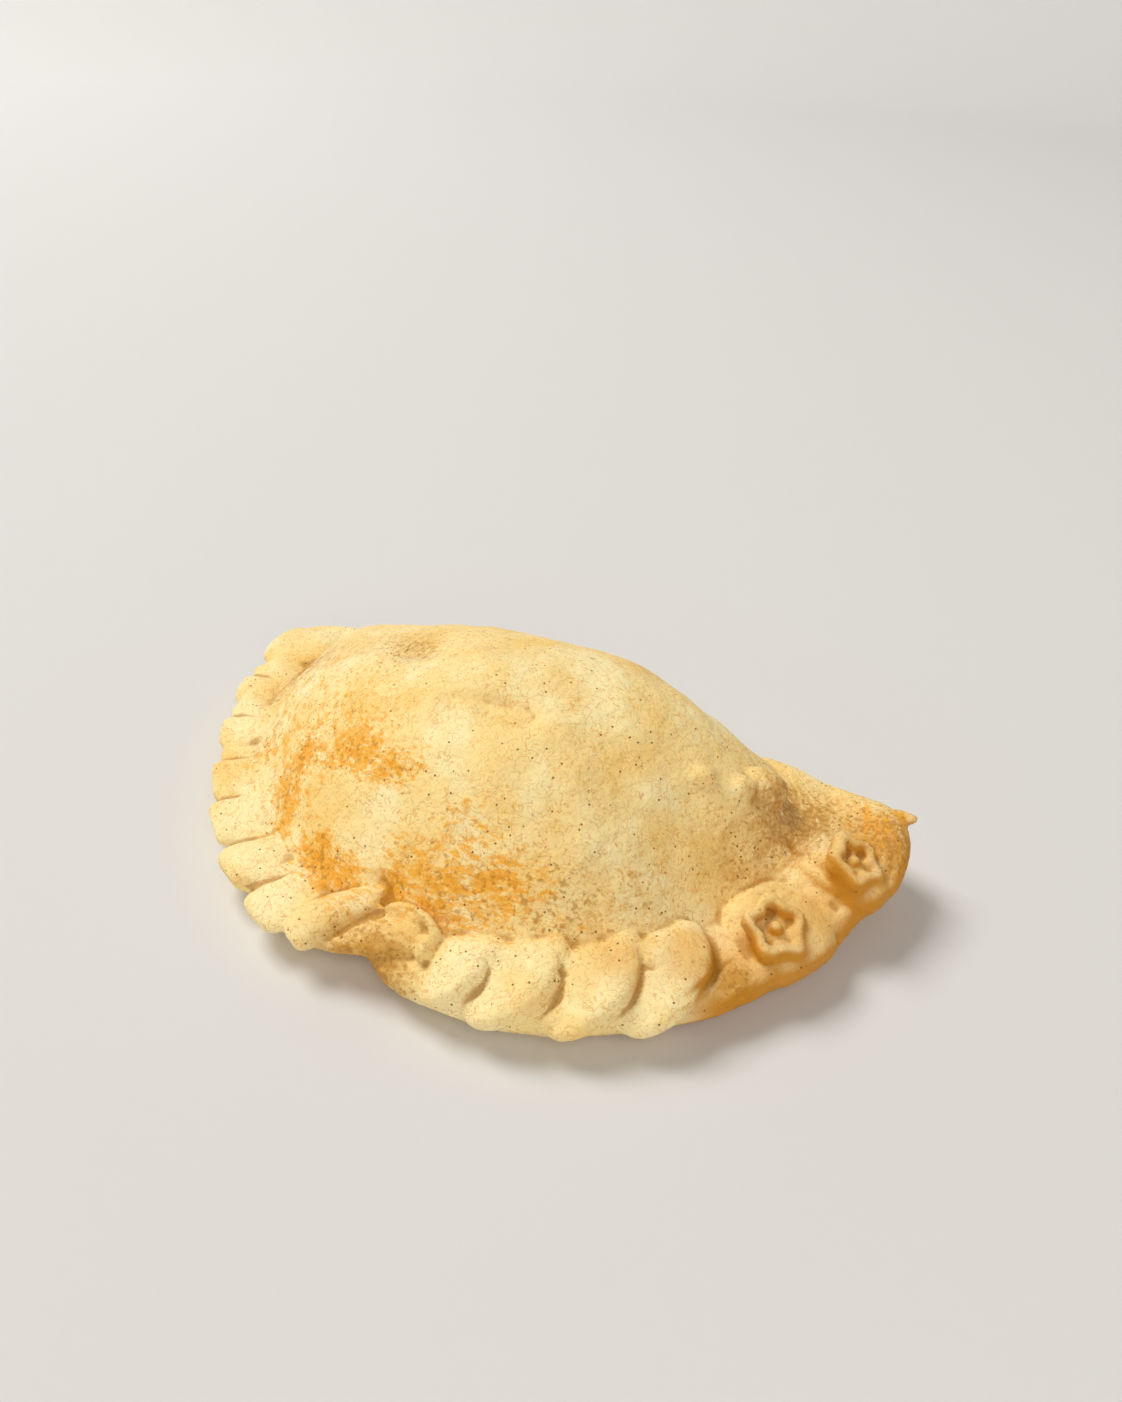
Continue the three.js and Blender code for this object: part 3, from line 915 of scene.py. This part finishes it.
points, normals = points_of(pastry.data), normals_of(pastry.data)
edges = np.empty(len(pastry.data.edges) * 2, dtype=np.int32)
pastry.data.edges.foreach_get("vertices", edges)
edges = edges.reshape(-1, 2)
above = normals[:, 2] > UNDERSIDE
fine = ((averaged(points, edges, CREASE_ROUNDS) - points) * normals).sum(1) / CREASE_DEEP
broad = ((averaged(points, edges, HOLLOW_ROUNDS) - points) * normals).sum(1) / HOLLOW_DEEP
# browning and painted shade in the fine creases
save(pastry.data, "crease", np.clip(fine, 0, 1) * above)
# painted shade in the broad hollows
save(pastry.data, "hollow_shade", np.clip(broad, 0, 1) * above)
# the tan patches carry the crust's tan and painted shade
toast, tan_and_shade = patches(points, TOAST), patches(points, TAN_AND_SHADE)
save(pastry.data, "toast", np.clip(toast, 0, 1) * above)
save(pastry.data, "tan_and_shade", np.clip(tan_and_shade, 0, 1))
save(pastry.data, "pale", np.clip(patches(points, PALE), 0, 1))
save(pastry.data, "freckled", np.clip(tan_and_shade + toast, 0, 1) * above)
# painted shade: steep sides get more gold than level places, as if in shade
side = 1 - TOP_FADE * ease(*TOP_SPAN, normals[:, 2])
save(pastry.data, "gold_and_shade", np.clip(patches(points, GOLD_AND_SHADE), 0, 1) * side)
shares = [(depth > SHOWN).mean().round(3) for depth in (fine, broad)]
print("shares of points in creases and in hollows:", shares)

# %% [markdown]
# Streaks that follow the dome
#
# The toasting is streaky, and the streaks run round the dome like lines on a map. A Mapping node could
# stretch a noise along one straight direction only. So one more attribute gives each point a place in
# a space that is long round the dome and short across it, and plain noise read there comes out as
# streaks.

# %% Streak coordinates
STREAK_LENGTH, STREAK_WIDTH = 3.0, 0.9  # mm
DOME_MEAN = 40.0  # mm, mean reach of the dome
angle = np.arctan2(points[:, 1] - APEX[1], points[:, 0] - APEX[0])
share = np.hypot(points[:, 1] - APEX[1], points[:, 0] - APEX[0]) / dome_reach(angle)
along = DOME_MEAN / STREAK_LENGTH
flow = np.stack((along * np.cos(angle), along * np.sin(angle), share * DOME_MEAN / STREAK_WIDTH), axis=1)
save(pastry.data, "flow", flow)
print("streak space:", flow.min(0).round(1), flow.max(0).round(1))

# %% [markdown]
# Patterns of the crust
#
# Shortcrust is flour and fat, rolled out and baked. Seen close it is never one colour: pale and golden
# blotches about a centimetre wide, fine hairs where the rolled surface dried and cracked, freckles where
# it browned, and dark specks of bran. Each of them is a noise with a size in millimetres. They read
# Object coordinates, so they stay fixed to the pastry.

# %% Patterns
# baked shortcrust: dry starch held by fat, a warm and dull crust with a faint waxy shine
crust, tree, shader = new_material("baked shortcrust")
spot = add(tree, "ShaderNodeTexCoord").outputs["Object"]
# in mm; the curls that make the hairs are drawn coarser than real ones, so that they show
SIZES = dict(mottle=12, grain=2.0, curls=1.1, dots=0.9, speck=2.1)
DETAIL = dict(mottle=5.0, grain=3.0, dots=2.0)
scale = {name: 1 / (size * MM) for name, size in SIZES.items()}

mottle, grain, dots = (
    add(tree, "ShaderNodeTexNoise", {"Vector": spot, "Scale": scale[name], "Detail": detail}).outputs[0]
    for name, detail in DETAIL.items()
)
speck = add(tree, "ShaderNodeTexVoronoi", {"Vector": spot, "Scale": scale["speck"]}).outputs["Distance"]
curls = {"Vector": spot, "Scale": scale["curls"], "Detail": 1.0, "Distortion": 0.6}
curls = add(tree, "ShaderNodeTexNoise", curls).outputs[0]

# a hair lies where the curls pass through their middle value, broken up by a share of the grain
NOISE_MIDDLE, GRAIN_SHARE = 0.5, 0.1
hair = add(tree, "ShaderNodeMath", {0: curls, 1: NOISE_MIDDLE}, operation="SUBTRACT").outputs[0]
hair = add(tree, "ShaderNodeMath", {0: hair}, operation="ABSOLUTE").outputs[0]
hair = {0: grain, 1: GRAIN_SHARE, 2: hair}
hair = add(tree, "ShaderNodeMath", hair, operation="MULTIPLY_ADD").outputs[0]
print("patterns in mm:", SIZES)

# %% [markdown]
# Patterns in their places
#
# The attributes decide where a pattern shows. Added to the streaks, the toast lets more of them through
# in the browned fields. The tan with its painted shade is multiplied by them, so it comes in streaks
# too. The pale patches shift the blotches towards cream, and the browned fields and the tan with its
# painted shade bring out the freckles.

# %% Patterns steered by the attributes
PALE_SHIFT, FRECKLE_SHIFT = -0.16, 0.26
value = {
    name: add(tree, "ShaderNodeAttribute", attribute_name=name).outputs["Fac"]
    for name in ("toast", "tan_and_shade", "pale", "freckled", "gold_and_shade", "crease", "hollow_shade")
}
flow_space = add(tree, "ShaderNodeAttribute", attribute_name="flow").outputs["Vector"]
streak = {"Vector": flow_space, "Scale": 1.0, "Detail": 7.0, "Roughness": 0.78}
streak = add(tree, "ShaderNodeTexNoise", streak).outputs[0]
streak = add(tree, "ShaderNodeMapRange", {"Value": streak, "From Min": 0.3, "From Max": 0.7}).outputs[0]
browned = add(tree, "ShaderNodeMath", {0: streak, 1: value["toast"]}, operation="ADD").outputs[0]
# painted shade mixed with the crust's tan, broken into streaks
dull_and_shade = add(tree, "ShaderNodeMath", {0: streak, 1: value["tan_and_shade"]}, operation="MULTIPLY").outputs[0]
blotch = {0: value["pale"], 1: PALE_SHIFT, 2: mottle}
blotch = add(tree, "ShaderNodeMath", blotch, operation="MULTIPLY_ADD").outputs[0]
freckle = {0: value["freckled"], 1: FRECKLE_SHIFT, 2: dots}
freckle = add(tree, "ShaderNodeMath", freckle, operation="MULTIPLY_ADD").outputs[0]
print("attributes read:", len(value) + 1)

# %% [markdown]
# Baked shortcrust
#
# The crust is cream, with paler and more golden blotches. Over that lie, in order: the dull tan with
# painted shade, the gold of the tip with painted shade on the sides, two depths of toast, hairs,
# freckles, painted shade in the hollows, the brown and painted shade of creases, and specks. Each
# layer is one colour mixed over the last by an amount, as a painter glazes one coat over another.

# %% Layers of colour
FACTOR, UNDER, OVER, RESULT = 0, 6, 7, 2  # sockets of the Mix node when it mixes colours
LAYERS = (  # colour, pattern, the values at which the layer is absent and full, and its greatest amount
    ("#ffefb9", blotch, 0.5, 0.36, 0.75),
    ("#f4c566", blotch, 0.5, 0.68, 0.5),
    # crust's tan and painted shade on the right side and in the valleys
    ("#c9994c", dull_and_shade, 0.05, 0.5, 0.8),
    # gold of the tip and pads, with painted shade on their sides
    ("#cd8a1c", value["gold_and_shade"], 0.0, 1.0, 0.95),
    ("#f4b13c", browned, 0.74, 1.12, 0.95),
    ("#e08f24", browned, 1.12, 1.5, 0.7),
    ("#d08a2c", hair, 0.09, 0.05, 0.45),
    ("#b37a2c", freckle, 0.68, 0.82, 0.6),
    # painted shade in the hollows
    ("#dca444", value["hollow_shade"], 0.15, 1.0, 0.3),
    # brown of the creases, partly painted shade
    ("#b0761a", value["crease"], 0.35, 1.1, 0.7),
    ("#7d4208", speck, 0.11, 0.08, 0.85),
)
colour = linear("#fde09a")
for tint, pattern, absent, full, most in LAYERS:
    limits = {"Value": pattern, "From Min": absent, "From Max": full, "To Max": most}
    amount = add(tree, "ShaderNodeMapRange", limits, interpolation_type="SMOOTHSTEP").outputs[0]
    sockets = {FACTOR: amount, UNDER: colour, OVER: linear(tint)}
    colour = add(tree, "ShaderNodeMix", sockets, data_type="RGBA").outputs[RESULT]
tree.links.new(colour, shader.inputs["Base Color"])
print("layers of colour:", len(LAYERS) + 1)

# %% [markdown]
# Shine, pores and depth
#
# Baked dough is dull with a soft shine from its fat, so the roughness is middling and changes a little
# with the blotches, and the reflection is weak. Fine pores are too small to model, so the grain and the
# hairs drive a bump. Light enters the crust a little way and comes out warmer, which subsurface
# scattering gives: red goes furthest, blue least.

# %% Finish of the crust
shine = {"Value": mottle, "To Min": 0.42, "To Max": 0.62}
tree.links.new(add(tree, "ShaderNodeMapRange", shine).outputs[0], shader.inputs["Roughness"])
relief = add(tree, "ShaderNodeMath", {0: grain, 1: curls}, operation="ADD").outputs[0]
pores = add(tree, "ShaderNodeBump", {"Height": relief, "Strength": 0.75, "Distance": 0.3 * MM})
tree.links.new(pores.outputs[0], shader.inputs["Normal"])
shader.inputs["IOR"].default_value = 1.45
shader.inputs["Specular IOR Level"].default_value = 0.15
shader.inputs["Subsurface Weight"].default_value = 0.15
shader.inputs["Subsurface Radius"].default_value = (1.0, 0.5, 0.2)
shader.inputs["Subsurface Scale"].default_value = 1.5 * MM
pastry.data.materials.append(crust)
print("nodes in the crust:", len(tree.nodes))

# %% [markdown]
# Hand it over
#
# The finished mesh moves onto the imported part and is turned into metres. It takes the place of the
# packed pastry. Moving its points, and not the object, keeps the object at the origin, where its
# patterns are the same in every view and in the export.

# %% Place and register
LAYOUT_SHIFT = np.array((1.6, 2.05, 0.0))  # mm from the disc's layout to the part's origin
place(pastry.data, (points_of(pastry.data) + LAYOUT_SHIFT) * MM)
for polygon in pastry.data.polygons:
    polygon.use_smooth = True
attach(pastry, "root")
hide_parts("pastry")
